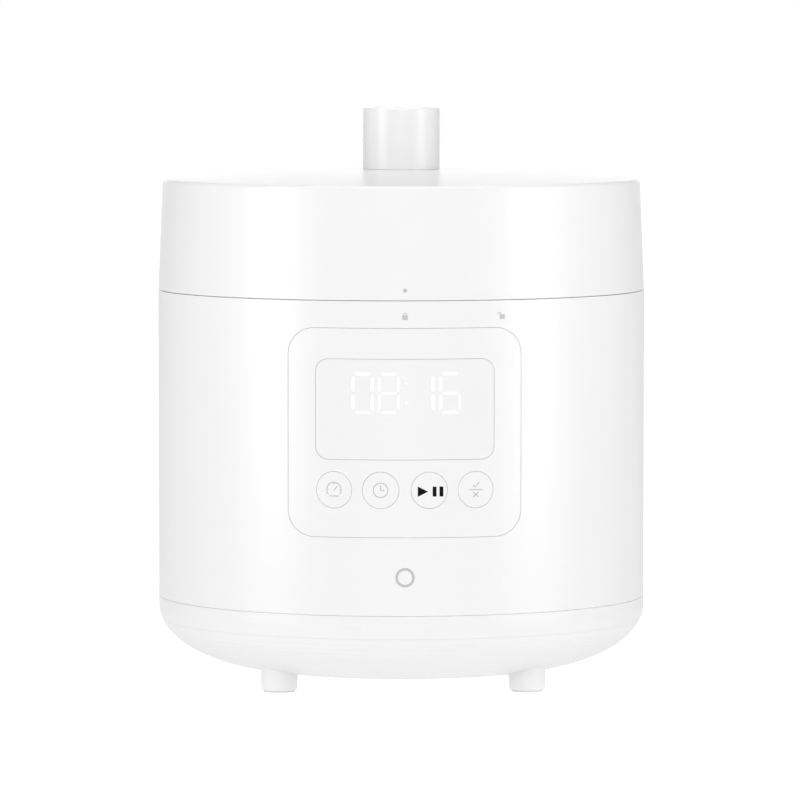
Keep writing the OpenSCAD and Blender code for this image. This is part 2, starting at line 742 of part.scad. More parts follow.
module rocker_lever() color("dimgray") translate([pivot_x, 0, pivot_z]) {
    rotate([90, 0, 0]) cylinder(h = 19, r = 1.5, center = true);
    rotate([90, 0, 0]) cylinder(h = 6, r = 3, center = true);
    translate([-5, -3, -1]) cube([13, 6, 2.3]);
    translate([-5, -6.4, -1]) cube([2, 12.8, 2.3]);
    for (y = [-6.4, 4.6]) translate([-11, y, -1]) cube([7, 1.8, 2.3]);
}

module release_button() color("white") {
    difference() {
        union() {
            translate([0, 0, knob_top - 4.7]) cylinder(h = 4.1, r = button_r);
            translate([0, 0, knob_top - 0.6]) cylinder(h = 0.5, r1 = button_r, r2 = button_r - 0.5);
        }
        translate([0, 0, knob_top - 5]) cylinder(h = 3.4, r = button_r - 1.6);
    }
    tube(knob_top - 4.7, 1.8, button_r + 1.4, button_r - 1.2);
    translate([leg_x, 0, pivot_z + 1.6 + leg_r]) {
        cylinder(h = knob_top - 1.2 - pivot_z - 1.6 - leg_r, r = leg_r);
        sphere(r = leg_r);
    }
}

module pressure_weight() color("silver") translate([valve_x, 0, 0]) difference() {
    union() {
        translate([0, 0, floor_z + 0.4]) cylinder(h = 13.2, r = 4.2);
        translate([0, 0, pivot_z + 1.6]) cylinder(h = 2.4, r = 6.8);
        translate([0, 0, floor_z + 13]) cylinder(h = 1.4, r1 = 4.2, r2 = 3);
    }
    translate([0, 0, floor_z]) cylinder(h = knob_low + 4.8 - floor_z, r = 2.9);
}

module float_valve() color("silver") translate([0, float_y, 0]) {
    translate([0, 0, seam_z + 3]) cylinder(h = crown_z(float_y) - 0.9 - seam_z - 3, r = 2.4);
    translate([0, 0, seam_z + 3]) cylinder(h = 1.5, r = 5.5);
    translate([0, 0, lid_plate_z + lid_plate_t + 0.3]) cylinder(h = 1, r = 4.2);
}

module float_seal() color("orangered") translate([0, float_y, seam_z + 4.5]) difference() {
    cylinder(h = 1.9, r = 4.8);
    translate([0, 0, -1]) cylinder(h = 4, r = 2.4);
}

// ---- Nodes ------------------------------------------------------------------------------

outer_shell();
rim_collar();
base_ring();
base_bowl();
feet();
foot_pads();
heating_chamber();
insulation_sleeve();
heating_plate();
heating_element();
plate_supports();
sensor_bracket();
sensor_guide();
sensor_cap();
sensor_spring();
thermostat();
thermal_fuse();
pressure_switch();
tie_columns();
base_screws();
control_panel();
display_lens();
key(0);  // key_pressure
key(1);  // key_timer
key(2);  // key_start
key(3);  // key_select
board_carrier();
control_board();
display_module();
key_switches();
lid_sensor();
power_board();
transformer();
relay();
terminal_block();
power_inlet();
inlet_pins();
mains_leads();
heater_leads();
panel_cable();
cup_pocket();
condensate_cup();
inner_pot();
sealing_ring();
lid_cover();
lid_liner();
lid_screws();
steel_lid();
ring_retainer();
vent_pipe();
screen_cap();
lid_magnet();
knob_shell();
knob_core();
rocker_lever();
release_button();
button_spring();
pressure_weight();
float_valve();
float_seal();
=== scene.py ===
import json
import math

import bpy
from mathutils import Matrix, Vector
from mathutils.geometry import delaunay_2d_cdt


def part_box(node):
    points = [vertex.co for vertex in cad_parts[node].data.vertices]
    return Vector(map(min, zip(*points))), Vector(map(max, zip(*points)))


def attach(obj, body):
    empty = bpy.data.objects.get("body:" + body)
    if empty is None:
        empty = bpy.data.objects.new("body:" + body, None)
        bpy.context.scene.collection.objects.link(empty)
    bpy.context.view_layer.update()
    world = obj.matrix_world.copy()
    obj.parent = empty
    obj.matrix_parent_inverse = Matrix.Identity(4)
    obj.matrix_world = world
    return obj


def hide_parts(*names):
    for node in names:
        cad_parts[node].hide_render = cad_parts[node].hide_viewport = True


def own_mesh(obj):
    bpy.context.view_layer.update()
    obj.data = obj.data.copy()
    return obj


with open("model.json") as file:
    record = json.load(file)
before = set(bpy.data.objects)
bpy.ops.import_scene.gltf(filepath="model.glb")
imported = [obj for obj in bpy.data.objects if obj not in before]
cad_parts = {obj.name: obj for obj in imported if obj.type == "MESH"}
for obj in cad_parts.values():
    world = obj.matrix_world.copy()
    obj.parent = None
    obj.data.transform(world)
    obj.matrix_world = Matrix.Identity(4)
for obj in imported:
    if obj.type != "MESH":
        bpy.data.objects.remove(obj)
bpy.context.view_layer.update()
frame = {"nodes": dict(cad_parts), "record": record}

MM = 0.001
TURN = 240


# ---- Positions, in millimetres. An angle of 0 faces the front and grows to the right ----------

def turned(at, r, z):
    """The point at a radius and height, turned about the axis."""
    return (r * math.sin(at), -r * math.cos(at), z)


def facing(at):
    """The direction away from the axis."""
    return (math.sin(at), -math.cos(at), 0.0)


def unit(vector):
    length = math.sqrt(sum(c * c for c in vector))
    return tuple(c / length for c in vector)


def box(node):
    """The lowest and highest corner of a CAD node at rest, in millimetres."""
    return [[c / MM for c in corner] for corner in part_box(node)]


# ---- Meshes -----------------------------------------------------------------------------------

class Surface:
    """Faces with a normal at each corner, in millimetres. Points that coincide are shared."""

    def __init__(self):
        self.points = []
        self.index = {}
        self.faces = []
        self.normals = []

    def face(self, corners):
        """Adds a face of (point, normal) corners, wound to agree with its normals."""
        ids, kept = [], []
        for point, normal in corners:
            key = tuple(round(c * 1e4) for c in point)
            if key not in self.index:
                self.index[key] = len(self.points)
                self.points.append(point)
            if self.index[key] not in ids:
                ids.append(self.index[key])
                kept.append(normal)
        if len(ids) < 3:
            return
        first, second, third, last = (Vector(self.points[ids[k]]) for k in (0, 1, 2, -1))
        spans = (third - first, last - second) if len(ids) > 3 else (second - first, third - first)
        across = spans[0].cross(spans[1])
        if across.length < 1e-7:
            return
        if sum(across.dot(Vector(normal)) for normal in kept) < 0:
            ids.reverse()
            kept.reverse()
        self.faces.append(ids)
        self.normals.append(kept)

    def strip(self, lower, upper, closed=True):
        """Joins two rings of corners with quads."""
        for k in range(len(lower) if closed else len(lower) - 1):
            after = (k + 1) % len(lower)
            self.face([lower[k], lower[after], upper[after], upper[k]])

    def cap(self, ring, normal):
        """Closes a ring of corners with triangles that meet in its middle."""
        middle = tuple(sum(point[i] for point, _ in ring) / len(ring) for i in range(3))
        for k in range(len(ring)):
            self.face([(middle, normal), (ring[k - 1][0], normal), (ring[k][0], normal)])

    def mesh(self, name, body, material, slot=None, replaces=()):
        """Makes the object, which rides on the body and stands for the CAD nodes named."""
        data = bpy.data.meshes.new(name)
        data.from_pydata([[c * MM for c in point] for point in self.points], [], self.faces)
        data.polygons.foreach_set("use_smooth", [True] * len(self.faces))
        data.normals_split_custom_set([normal for ring in self.normals for normal in ring])
        data.materials.append(material)
        made = bpy.data.objects.new(name, data)
        bpy.context.scene.collection.objects.link(made)
        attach(made, body)
        if replaces:
            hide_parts(*replaces)
        return made


def fillet(corners, closed=True):
    """Rounds the (r, z, radius) corners of an anticlockwise profile. Gives (point, normal) stations."""
    stations = []
    count = len(corners)
    for i, (r, z, radius) in enumerate(corners):
        before = corners[i - 1] if closed or i else None
        after = corners[(i + 1) % count] if closed or i < count - 1 else None
        legs = []
        for start, end in ((before, corners[i]), (corners[i], after)):
            if start and end:
                run, rise = end[0] - start[0], end[1] - start[1]
                length = math.hypot(run, rise)
                legs.append((run / length, rise / length))
        outward = [(rise, -run) for run, rise in legs]
        turn = 0.0
        if len(legs) == 2:
            turn = math.atan2(legs[0][0] * legs[1][1] - legs[0][1] * legs[1][0],
                              legs[0][0] * legs[1][0] + legs[0][1] * legs[1][1])
        if not radius or abs(turn) < 1e-3:
            stations += [((r, z), normal) for normal in outward]
            continue
        side = 1 if turn > 0 else -1
        reach = radius * math.tan(abs(turn) / 2)
        centre = [(r, z)[k] - legs[0][k] * reach - outward[0][k] * side * radius for k in (0, 1)]
        steps = max(2, math.ceil(abs(turn) / math.radians(15)))
        for k in range(steps + 1):
            c, s = math.cos(turn * k / steps), math.sin(turn * k / steps)
            normal = (outward[0][0] * c - outward[0][1] * s, outward[0][0] * s + outward[0][1] * c)
            point = tuple(centre[i] + normal[i] * side * radius for i in (0, 1))
            stations.append((point, normal))
    return stations


def ring(station, steps=TURN, centre=(0, 0)):
    """The corners that a station makes as it turns. The first is at the left, so no seam is in front."""
    (r, z), (out, up) = station
    corners = []
    for k in range(steps):
        at = -math.pi / 2 + 2 * math.pi * k / steps
        x, y, _ = turned(at, r, z)
        toward = facing(at)
        corners.append(((x + centre[0], y + centre[1], z), (toward[0] * out, toward[1] * out, up)))
    return corners


def lathe(surface, stations, closed=True, steps=TURN, centre=(0, 0)):
    """Turns a profile about an upright axis."""
    rings = [ring(station, steps, centre) for station in stations]
    if closed:
        rings.append(rings[0])
    for lower, upper in zip(rings, rings[1:]):
        surface.strip(lower, upper)


def inside(u, v, loops):
    """Whether an odd number of the loops go round the point."""
    odd = False
    for loop in loops:
        for k in range(len(loop)):
            u0, v0 = loop[k - 1][:2]
            u1, v1 = loop[k][:2]
            if (v0 > v) != (v1 > v) and u < u0 + (v - v0) * (u1 - u0) / (v1 - v0):
                odd = not odd
    return odd


def fill(surface, loops, spacing, where):
    """Covers what lies inside an odd number of loops. A loop's corners are (u, v, point, normal), and
    where(u, v) gives the (point, normal) of the grid points between them."""
    flat, edges, known = [], [], []
    for loop in loops:
        first = len(flat)
        for k, (u, v, point, normal) in enumerate(loop):
            flat.append(Vector((u, v)))
            known.append((point, normal))
            edges.append((first + k, first + (k + 1) % len(loop)))
    low = [min(p[i] for p in flat) for i in (0, 1)]
    size = [max(p[i] for p in flat) - low[i] for i in (0, 1)]
    count = [max(1, round(size[i] / spacing[i])) for i in (0, 1)]
    clear = 0.45 * min(spacing)
    taken = {(round(p[0] / clear), round(p[1] / clear)) for p in flat}
    for i in range(1, count[0]):
        for j in range(1, count[1]):
            u, v = low[0] + size[0] * i / count[0], low[1] + size[1] * j / count[1]
            cell = (round(u / clear), round(v / clear))
            near = any((cell[0] + a, cell[1] + b) in taken for a in (-1, 0, 1) for b in (-1, 0, 1))
            if not near and inside(u, v, loops):
                flat.append(Vector((u, v)))
                known.append(where(u, v))
    places, _, triangles, sources = delaunay_2d_cdt(flat, edges, [], 0, 1e-5)[:4]
    corners = [known[source[0]] if source else where(*place) for place, source in zip(places, sources)]
    for triangle in triangles:
        u, v = (sum(places[i][k] for i in triangle) / 3 for k in (0, 1))
        if inside(u, v, loops):
            surface.face([corners[i] for i in triangle])


# ---- Outlines, as functions of how much they grow. Each point is (across, up, and the normal's two) ----

def rounded(width, height, radius, z, run=2.5, rise=6.0, arc=10):
    """Upright rectangle with round corners."""
    across, up = width / 2 - radius, height / 2 - radius
    runs = (max(1, math.ceil(2 * up / rise)), max(1, math.ceil(2 * across / run)))
    corners = ((across, -up), (across, up), (-across, up), (-across, -up))

    def outline(grow):
        points = []
        for i, (x, y) in enumerate(corners):
            for k in range(arc + 1):
                a = math.pi / 2 * (i - 1 + k / arc)
                c, s = math.cos(a), math.sin(a)
                points.append((x + c * (radius + grow), z + y + s * (radius + grow), c, s))
            nx, ny = corners[(i + 1) % 4]
            steps = runs[i % 2]
            for k in range(1, steps):
                points.append((x + (nx - x) * k / steps + c * (radius + grow),
                               z + y + (ny - y) * k / steps + s * (radius + grow), c, s))
        return points
    return outline


def circle(radius, z, steps=72):
    """Circle round a point at a height."""
    def outline(grow):
        turns = [2 * math.pi * k / steps for k in range(steps)]
        spokes = [(math.cos(a), math.sin(a)) for a in turns]
        return [((radius + grow) * c, z + (radius + grow) * s, c, s) for c, s in spokes]
    return outline


def straight(points, z, longest=1.6):
    """Polygon with straight edges and no bevel. Long edges are cut up, so that they can follow the wall."""
    def outline(grow):
        cut = []
        for k, (px, pz) in enumerate(points):
            qx, qz = points[(k + 1) % len(points)]
            length = math.hypot(qx - px, qz - pz)
            steps = max(1, math.ceil(length / longest))
            for j in range(steps):
                cut.append((px + (qx - px) * j / steps, z + pz + (qz - pz) * j / steps,
                            (qz - pz) / length, (px - qx) / length))
        return cut
    return outline


def rim(outline, at, side, r_face, bevel, r_back):
    """The edge of a curved wall piece: corners on its face, rings over the bevel and down the wall, and
    corners on its back. side is 1 on an outer edge and -1 round a hole."""
    face, walls, back = [], [], []
    steps = 5 if bevel else 0
    for k in range(steps + 2):
        last = k == steps + 1
        a = math.pi / 2 * min(1.0, k / steps if steps else 1.0)
        grow = -side * bevel * (1 - math.sin(a))
        r = r_back if last else r_face - bevel * (1 - math.cos(a))
        corners = []
        for t, z, nt, nz in outline(grow):
            phi = at + math.asin(t / r)
            point, away = turned(phi, r, z), facing(phi)
            flat = (side * nt * math.cos(at), side * nt * math.sin(at), side * nz)
            normal = unit([math.cos(a) * away[i] + math.sin(a) * flat[i] for i in range(3)])
            corners.append((point, normal))
            if k == 0:
                face.append((phi * r_face, z, point, away))
            if last:
                back.append((phi * r_face, z, point, tuple(-c for c in away)))
        walls.append(corners)
    return face, walls, back


def on_wall(r_face, r, sign=1):
    """Where a grid point of a curved wall lies."""
    def where(u, v):
        away = facing(u / r_face)
        return turned(u / r_face, r, v), tuple(sign * c for c in away)
    return where


def plate(surface, r_face, r_back, edges, spacing=(2.6, 7.0)):
    """A piece of curved wall. Its edges are (outline, at, side, bevel), the outer one first."""
    faces, backs = [], []
    for outline, at, side, bevel in edges:
        face, walls, back = rim(outline, at, side, r_face, bevel, r_back)
        for lower, upper in zip(walls, walls[1:]):
            surface.strip(lower, upper)
        faces.append(face)
        backs.append(back)
    fill(surface, faces, spacing, on_wall(r_face, r_face))
    fill(surface, backs, spacing, on_wall(r_face, r_back, -1))


def barrel(surface, profile_top, profile_bottom, holes, steps=TURN, rise=8.0):
    """A tube with holes in its wall: (outline, at, bevel). The top profile runs inwards from the outer wall
    to the inner one, and the bottom profile runs back out."""
    top, bottom = fillet(profile_top, closed=False), fillet(profile_bottom, closed=False)
    lathe(surface, top, closed=False, steps=steps)
    lathe(surface, bottom, closed=False, steps=steps)
    r_face, r_back = top[0][0][0], top[-1][0][0]
    rims = [rim(outline, at, -1, r_face, bevel, r_back) for outline, at, bevel in holes]
    for _, walls, _ in rims:
        for lower, upper in zip(walls, walls[1:]):
            surface.strip(lower, upper)
    for r, sign, low, high, which in ((r_face, 1, bottom[-1][0][1], top[0][0][1], 0),
                                      (r_back, -1, bottom[0][0][1], top[-1][0][1], 2)):
        levels = max(1, round((high - low) / rise))
        turns = [-math.pi / 2 + 2 * math.pi * k / steps for k in range(steps + 1)]
        where = on_wall(r_face, r, sign)
        path = [(a, low) for a in turns]
        path += [(turns[-1], low + (high - low) * k / levels) for k in range(1, levels)]
        path += [(a, high) for a in reversed(turns)]
        path += [(turns[0], high - (high - low) * k / levels) for k in range(1, levels)]
        edge = [(a * r_face, z, *where(a * r_face, z)) for a, z in path]
        spacing = (2 * math.pi * r_face / steps, rise)
        fill(surface, [edge] + [parts[which] for parts in rims], spacing, where)


def coil(surface, centre, radius, wire, low, high, turns, steps=40, sides=10):
    """A spring of round wire whose two end turns lie closed."""
    rings = []
    total = round(turns * steps)
    span = high - low - 6 * wire
    for k in range(total + 1):
        closed_up = min(k, steps) + max(k - total + steps, 0)
        open_share = min(max((k - steps) / (total - 2 * steps), 0.0), 1.0)
        z = low + wire + 2 * wire * closed_up / steps + span * open_share
        away = facing(2 * math.pi * k / steps)
        corners = []
        for j in range(sides):
            b = 2 * math.pi * j / sides
            normal = (away[0] * math.cos(b), away[1] * math.cos(b), math.sin(b))
            corners.append(((centre[0] + radius * away[0] + wire * normal[0],
                             centre[1] + radius * away[1] + wire * normal[1], z + wire * normal[2]), normal))
        rings.append(corners)
    for lower, upper in zip(rings, rings[1:]):
        surface.strip(lower, upper)
    surface.cap(rings[0], (-1.0, 0.0, 0.0))
    surface.cap(rings[-1], (1.0, 0.0, 0.0))


# ---- Materials --------------------------------------------------------------------------------

def add(tree, kind, inputs=(), **settings):
    """Adds a shader node. An input is a value, or the socket that feeds it."""
    made = tree.nodes.new(kind)
    for key, value in settings.items():
        setattr(made, key, value)
    for key, value in dict(inputs).items():
        if isinstance(value, bpy.types.NodeSocket):
            tree.links.new(value, made.inputs[key])
        else:
            made.inputs[key].default_value = value
    return made


def scaled(tree, scale):
    """Places on the object, in metres, times a scale for each axis."""
    places = add(tree, "ShaderNodeTexCoord").outputs["Object"]
    return add(tree, "ShaderNodeVectorMath", {0: places, 1: scale}, operation="MULTIPLY").outputs[0]


def rings_of(tree, scale):
    """Places that depend on the radius and the height only, for turned and spun metal."""
    places = add(tree, "ShaderNodeTexCoord").outputs["Object"]
    flat = add(tree, "ShaderNodeVectorMath", {0: places, 1: (1, 1, 0)}, operation="MULTIPLY").outputs[0]
    radius = add(tree, "ShaderNodeVectorMath", {0: flat}, operation="LENGTH").outputs["Value"]
    parts = add(tree, "ShaderNodeSeparateXYZ", {0: places})
    joined = add(tree, "ShaderNodeCombineXYZ", {0: radius, 2: parts.outputs[2]}).outputs[0]
    return add(tree, "ShaderNodeVectorMath", {0: joined, 1: (scale,) * 3}, operation="MULTIPLY").outputs[0]


def noise(tree, places, scale, detail=2.0):
    return add(tree, "ShaderNodeTexNoise", {"Vector": places, "Scale": scale, "Detail": detail}).outputs[0]


def spread(tree, value, low, high, start=0.3, end=0.7):
    """Maps a pattern to a range."""
    return add(tree, "ShaderNodeMapRange", {0: value, 1: start, 2: end, 3: low, 4: high}).outputs[0]


def blend_of(tree, share, first, second):
    made = add(tree, "ShaderNodeMix", {"Factor": share}, data_type="RGBA")
    for socket, colour in ((made.inputs[6], first), (made.inputs[7], second)):
        if isinstance(colour, bpy.types.NodeSocket):
            tree.links.new(colour, socket)
        else:
            socket.default_value = (*colour, 1)
    return made.outputs[2]


def shades(colour, amount):
    return tuple(c * (1 - amount) for c in colour), tuple(min(1.0, c * (1 + amount)) for c in colour)


def finish(name, colour, roughness, metallic=0.0, mottle=0.02, mottle_scale=60.0, uneven=0.04,
           grain=(1500.0, 0.05), lines=None, spots=None, **sockets):
    """A procedural material. Its colour and roughness wander a little, and it has a fine grain or tool lines.
    lines is (round or straight, scale, strength) and spots is (scale, size, colour, metallic)."""
    made = bpy.data.materials.new(name)
    made.use_nodes = True
    tree = made.node_tree
    shader = tree.nodes["Principled BSDF"]
    places = scaled(tree, (1, 1, 1))
    wander = noise(tree, places, mottle_scale, 3.0)
    painted = blend_of(tree, spread(tree, wander, 0.0, 1.0), *shades(colour, mottle))
    height = noise(tree, places, grain[0], 2.0)
    strength = grain[1]
    rough = noise(tree, places, mottle_scale * 2.3, 4.0)
    if lines:
        kind, scale, strength = lines
        along = rings_of(tree, 1.0) if kind == "round" else scaled(tree, (0.02, 1.0, 1.0))
        height = noise(tree, along, scale, 3.0)
        rough = noise(tree, along, scale * 0.6, 2.0)
        painted = blend_of(tree, spread(tree, height, 0.0, 0.12), painted, tuple(0.6 * c for c in colour))
    if spots:
        scale, size, tint, shine = spots
        cells = add(tree, "ShaderNodeTexVoronoi", {"Vector": places, "Scale": scale}).outputs["Distance"]
        share = spread(tree, cells, 1.0, 0.0, size * 0.7, size)
        painted = blend_of(tree, share, painted, tint)
        if shine:
            tree.links.new(share, shader.inputs["Metallic"])
    tree.links.new(painted, shader.inputs["Base Color"])
    rough = spread(tree, rough, max(0.02, roughness - uneven), roughness + uneven)
    tree.links.new(rough, shader.inputs["Roughness"])
    bump = add(tree, "ShaderNodeBump", {"Strength": strength, "Distance": 0.0002, "Height": height})
    tree.links.new(bump.outputs[0], shader.inputs["Normal"])
    if not (spots and spots[3]):
        shader.inputs["Metallic"].default_value = metallic
    for key, value in sockets.items():
        shader.inputs[key.replace("_", " ")].default_value = value
    return made


def circuit(name, colour):
    """Solder mask over copper tracks, with tinned pads."""
    made = finish(name, colour, 0.32, mottle=0.05, grain=(900.0, 0.04),
                  spots=(420.0, 0.16, (0.62, 0.62, 0.60), True))
    tree = made.node_tree
    shader = tree.nodes["Principled BSDF"]
    under = shader.inputs["Base Color"].links[0].from_socket
    tracks = add(tree, "ShaderNodeTexVoronoi", {"Vector": scaled(tree, (1, 1, 1)), "Scale": 130.0},
                 distance="MANHATTAN", feature="DISTANCE_TO_EDGE").outputs["Distance"]
    line = spread(tree, tracks, 0.55, 0.0, 0.05, 0.09)
    tree.links.new(blend_of(tree, line, under, tuple(min(1, 1.6 * c + 0.04) for c in colour)),
                   shader.inputs["Base Color"])
    return made


def fibres(name, colour):
    """Matted ceramic wool."""
    made = finish(name, colour, 0.95, mottle=0.10, mottle_scale=180.0, grain=(700.0, 1.0), Sheen_Weight=0.3)
    tree = made.node_tree
    bump = next(n for n in tree.nodes if n.type == "BUMP")
    tangled = noise(tree, scaled(tree, (1, 1, 9)), 260.0, 5.0)
    tree.links.new(tangled, bump.inputs["Height"])
    bump.inputs["Distance"].default_value = 0.001
    return made


tint = {row["slot"]: tuple(row["base_color"][:3]) for row in frame["record"]["materials"]}
WHITE = (0.835, 0.835, 0.838)
finishes = {
    "gloss_white": finish("gloss_white", WHITE, 0.30, mottle=0.004, uneven=0.02, grain=(420.0, 0.02),
                          Specular_IOR_Level=0.8),
    "key_white": finish("key_white", WHITE, 0.32, mottle=0.004, uneven=0.02, grain=(1400.0, 0.03),
                        Specular_IOR_Level=0.8),
    "display_window": finish("display_window", tuple(0.995 * c for c in WHITE), 0.23, mottle=0.003,
                             uneven=0.02, grain=(300.0, 0.01), Specular_IOR_Level=0.8),
    "inner_plastic": finish("inner_plastic", tint["inner_plastic"], 0.48, mottle=0.02, grain=(2600.0, 0.18)),
    "foot_rubber": finish("foot_rubber", tint["foot_rubber"], 0.75, mottle=0.05, grain=(2200.0, 0.35)),
    "stainless_steel": finish("stainless_steel", tint["stainless_steel"], 0.33, 1.0, uneven=0.05,
                              lines=("round", 2400.0, 0.10), Anisotropic=0.4),
    "fibre_wool": fibres("fibre_wool", tint["fibre_wool"]),
    "cast_aluminium": finish("cast_aluminium", tint["cast_aluminium"], 0.36, 1.0, uneven=0.08,
                             lines=("round", 1500.0, 0.30)),
    "element_sheath": finish("element_sheath", tint["element_sheath"], 0.62, 0.6, mottle=0.30,
                             mottle_scale=140.0, grain=(1600.0, 0.40)),
    "spring_steel": finish("spring_steel", tint["spring_steel"], 0.33, 1.0, mottle=0.06,
                           grain=(3000.0, 0.12)),
    "sensor_aluminium": finish("sensor_aluminium", tint["sensor_aluminium"], 0.33, 1.0,
                               lines=("round", 3200.0, 0.15)),
    "turned_metal": finish("turned_metal", tint["turned_metal"], 0.22, 1.0, lines=("round", 4200.0, 0.16)),
    "zinc_steel": finish("zinc_steel", tint["zinc_steel"], 0.34, 1.0, mottle=0.08, mottle_scale=220.0,
                         grain=(1800.0, 0.15)),
    "ceramic": finish("ceramic", tint["ceramic"], 0.35, mottle=0.04,
                      spots=(1500.0, 0.12, (0.45, 0.40, 0.33), False)),
    "black_plastic": finish("black_plastic", tint["black_plastic"], 0.42, mottle=0.08, grain=(2400.0, 0.25)),
    "display_black": finish("display_black", tint["display_black"], 0.22, mottle=0.05),
    "grey_plastic": finish("grey_plastic", tint["grey_plastic"], 0.45, mottle=0.04, grain=(2400.0, 0.20)),
    "circuit_board": circuit("circuit_board", tint["circuit_board"]),
    "transformer_yellow": finish("transformer_yellow", tint["transformer_yellow"], 0.38, mottle=0.06,
                                 lines=("straight", 900.0, 0.25)),
    "relay_blue": finish("relay_blue", tint["relay_blue"], 0.33, mottle=0.05, grain=(2000.0, 0.15)),
    "terminal_green": finish("terminal_green", tint["terminal_green"], 0.38, mottle=0.05,
                             grain=(2000.0, 0.2)),
    "plated_brass": finish("plated_brass", tint["plated_brass"], 0.22, 1.0, mottle=0.05,
                           lines=("straight", 1600.0, 0.1)),
    "lead_white": finish("lead_white", tint["lead_white"], 0.42, mottle=0.04, grain=(1500.0, 0.2)),
    "lead_red": finish("lead_red", tint["lead_red"], 0.42, mottle=0.06, grain=(1500.0, 0.2)),
    "ribbon_grey": finish("ribbon_grey", tint["ribbon_grey"], 0.5, mottle=0.05,
                          lines=("straight", 700.0, 0.4)),
    "clear_cup": finish("clear_cup", tint["clear_cup"], 0.07, mottle=0.01, uneven=0.02, grain=(700.0, 0.02),
                        Transmission_Weight=0.9, IOR=1.49),
    "pot_coating": finish("pot_coating", tint["pot_coating"], 0.40, mottle=0.10, grain=(1300.0, 0.25),
                          spots=(1900.0, 0.13, (0.42, 0.42, 0.44), False)),
    "silicone": finish("silicone", tint["silicone"], 0.50, mottle=0.02, grain=(900.0, 0.12),
                       Subsurface_Weight=0.15, Subsurface_Scale=0.002),
    "seal_red": finish("seal_red", tint["seal_red"], 0.5, mottle=0.05, grain=(900.0, 0.12)),
    "magnet": finish("magnet", tint["magnet"], 0.33, 0.9, mottle=0.06),
}
print_grey = finish("print_grey", (0.52, 0.52, 0.52), 0.45, mottle=0.02, grain=(2500.0, 0.1))
print_mark = finish("print_mark", (0.50, 0.50, 0.50), 0.45, mottle=0.02, grain=(2500.0, 0.1))
print_black = finish("print_black", (0.006, 0.006, 0.006), 0.9, mottle=0.1, grain=(2500.0, 0.1),
                     Specular_IOR_Level=0.1)
lit_white = finish("lit_white", (0.87, 0.87, 0.87), 0.4, mottle=0.01, Emission_Color=(1, 1, 1, 1),
                   Emission_Strength=0.20)

for row in frame["record"]["subparts"]:
    node = frame["nodes"][row["node"]]
    node.data.materials.clear()
    node.data.materials.append(finishes[row["material_slot"]])


# ---- The body ---------------------------------------------------------------------------------

SEAM_LESS = 0.19
shell_low, shell_high = (corner[2] for corner in box("outer_shell"))
shell_low, shell_high = shell_low - 0.3, shell_high + SEAM_LESS
wall_r = box("outer_shell")[1][0]
wall_in = wall_r - 2.2
panel_low, panel_high = box("control_panel")
FLANGE = 4.0
panel_w, panel_h = panel_high[0] - panel_low[0] - FLANGE, panel_high[2] - panel_low[2] - FLANGE
panel_z = (panel_low[2] + panel_high[2]) / 2
lens_low, lens_high = box("display_lens")
window_w, window_h = lens_high[0] - lens_low[0] - FLANGE, lens_high[2] - lens_low[2] - FLANGE
window_z = (lens_low[2] + lens_high[2]) / 2
PANEL_ROUND, WINDOW_ROUND = 12.0, 6.1
KEYS = ("key_pressure", "key_timer", "key_start", "key_select")
KEY_R, KEY_FLANGE, STEM_R, KEY_TRAVEL = 8.43, 9.8, 2.0, 0.8
GAP, EDGE_BEVEL = 0.13, 0.08
PIECE_T, FLANGE_T, GLASS_SINK = 2.8, 1.4, 0.06
# The width, height, corner radius and level of the two holes at the back
INLET_HOLE, CUP_HOLE, HOLE_BEVEL = (28, 20.8, 0.6, 56), (49.4, 54.4, 0.6, 143), 0.3


def middle_of(node):
    """The angle and height of the middle of a node on the front."""
    low, high = box(node)
    x, y, z = ((low[i] + high[i]) / 2 for i in range(3))
    return math.atan2(x, -y), z


key_at = {key: middle_of(key) for key in KEYS}

shell = Surface()
barrel(shell,
       [(wall_r, shell_high - 3, 0), (wall_r, shell_high, 0.3), (wall_in, shell_high, 0.3),
        (wall_in, shell_high - 3, 0)],
       [(wall_in, shell_low + 2, 0), (wall_in, shell_low, 0.3), (wall_r, shell_low, 0.2),
        (wall_r, shell_low + 2, 0)],
       [(rounded(panel_w + 2 * GAP, panel_h + 2 * GAP, PANEL_ROUND + GAP, panel_z), 0, EDGE_BEVEL),
        (rounded(*INLET_HOLE), math.pi, HOLE_BEVEL),
        (rounded(*CUP_HOLE), math.pi, HOLE_BEVEL)])
shell.mesh("body_wall", "cooker", finishes["gloss_white"], "gloss_white", ["outer_shell"])

panel = Surface()
plate(panel, wall_r, wall_r - PIECE_T,
      [(rounded(panel_w, panel_h, PANEL_ROUND, panel_z), 0, 1, EDGE_BEVEL),
       (rounded(window_w, window_h, WINDOW_ROUND, window_z), 0, -1, EDGE_BEVEL)]
      + [(circle(KEY_R + GAP, z, 96), at, -1, EDGE_BEVEL) for at, z in key_at.values()])
plate(panel, wall_in - 0.02, wall_in - FLANGE_T,
      [(rounded(panel_w + FLANGE, panel_h + FLANGE, PANEL_ROUND + 2, panel_z), 0, 1, 0.2),
       (rounded(panel_w - 6, panel_h - 6, PANEL_ROUND - 3, panel_z), 0, -1, 0.2)])
panel.mesh("front_panel", "cooker", finishes["gloss_white"], "gloss_white", ["control_panel"])

lens = Surface()
plate(lens, wall_r - GLASS_SINK, wall_r - PIECE_T,
      [(rounded(window_w - 2 * GAP, window_h - 2 * GAP, WINDOW_ROUND - GAP, window_z), 0, 1, EDGE_BEVEL)])
plate(lens, wall_r - PIECE_T - 0.02, wall_r - PIECE_T - 1,
      [(rounded(window_w + FLANGE, window_h + FLANGE, WINDOW_ROUND + 2, window_z), 0, 1, 0.2)])
lens.mesh("display_glass", "cooker", finishes["display_window"], "display_window", ["display_lens"])

